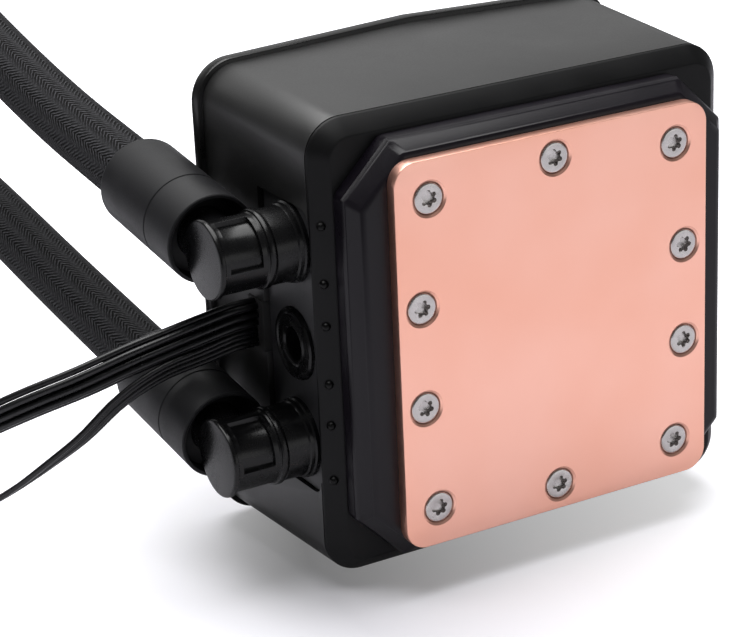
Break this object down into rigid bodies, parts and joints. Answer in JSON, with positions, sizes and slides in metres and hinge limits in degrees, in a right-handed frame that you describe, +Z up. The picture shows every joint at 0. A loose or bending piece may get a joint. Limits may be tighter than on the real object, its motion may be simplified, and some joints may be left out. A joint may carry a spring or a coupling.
{
  "type": "liquid cooler",
  "caption": "Closed-loop processor liquid cooler: square pump block with a copper cold plate, swivel elbows, braided hoses, leads and a radiator.",
  "frame": {"origin": "centre of the cold plate's contact face", "axes": "+X right as seen from the contact face, +Y from the contact face into the block, +Z up"},
  "size_m": [0.2184, 0.327, 0.1214],
  "materials": {
    "shroud_plastic": "fine matt grain",
    "base_plastic": "satin moulded",
    "elbow_plastic": "satin moulded",
    "collar_plastic": "satin dark grey",
    "plain_plastic": "matt moulded",
    "copper": "bare copper, finely brushed",
    "screw_steel": "plated",
    "shaft_steel": "ground",
    "seal_rubber": "matt",
    "hose_braid": "herringbone braid",
    "lead_sheath": "glossy insulation",
    "impeller_plastic": "natural",
    "can_plastic": "matt",
    "magnet_ferrite": "sintered",
    "bearing_ceramic": "ground",
    "stator_iron": "laminated",
    "coil_wire": "enamelled copper wire",
    "board_laminate": "lacquered",
    "jet_steel": "stamped sheet",
    "radiator_paint": "satin black",
    "fin_paint": "satin black, thin"
  },
  "bodies": {
    "cooler": {"shroud": "shroud_plastic", "rear_cap": "shroud_plastic", "shroud_screws": "screw_steel", "pump_base": "base_plastic", "cold_plate": "copper", "plate_screws": "screw_steel", "plate_gasket": "seal_rubber", "jet_plate": "jet_steel", "shaft_bearings": "bearing_ceramic", "rotor_can": "can_plastic", "can_seal": "seal_rubber", "stator_core": "stator_iron", "stator_coils": "coil_wire", "controller_board": "board_laminate", "fill_plug": "elbow_plastic", "fill_plug_seal": "seal_rubber", "elbow_clips": "collar_plastic", "upper_hose": "hose_braid", "lower_hose": "hose_braid", "lead_grommet": "seal_rubber", "power_lead": "lead_sheath", "power_plug": "plain_plastic", "speed_lead": "lead_sheath", "speed_plug": "plain_plastic", "port_tank": "radiator_paint", "plain_tank": "radiator_paint", "water_tubes": "radiator_paint", "folded_fins": "fin_paint", "radiator_rails": "radiator_paint", "radiator_ports": "radiator_paint", "radiator_collars": "collar_plastic", "bleed_screw": "screw_steel"},
    "upper_fitting": {"upper_elbow": "elbow_plastic", "upper_elbow_seal": "seal_rubber", "upper_collar": "collar_plastic"},
    "lower_fitting": {"lower_elbow": "elbow_plastic", "lower_elbow_seal": "seal_rubber", "lower_collar": "collar_plastic"},
    "rotor": {"impeller": "impeller_plastic", "rotor_magnet": "magnet_ferrite", "pump_shaft": "shaft_steel"}
  },
  "joints": [
    {"name": "upper_swivel", "type": "hinge", "parent": "cooler", "child": "upper_fitting", "pos_m": [-0.0477, 0.0174, 0.0169], "axis": [1, 0, 0], "range_deg": [-20, 100], "deforming": ["upper_hose"]},
    {"name": "lower_swivel", "type": "hinge", "parent": "cooler", "child": "lower_fitting", "pos_m": [-0.0477, 0.0174, -0.0159], "axis": [1, 0, 0], "range_deg": [-100, 6], "deforming": ["lower_hose"]},
    {"name": "impeller_spin", "type": "hinge", "parent": "cooler", "child": "rotor", "pos_m": [0, 0.02, 0], "axis": [0, 1, 0], "continuous": true}
  ]
}
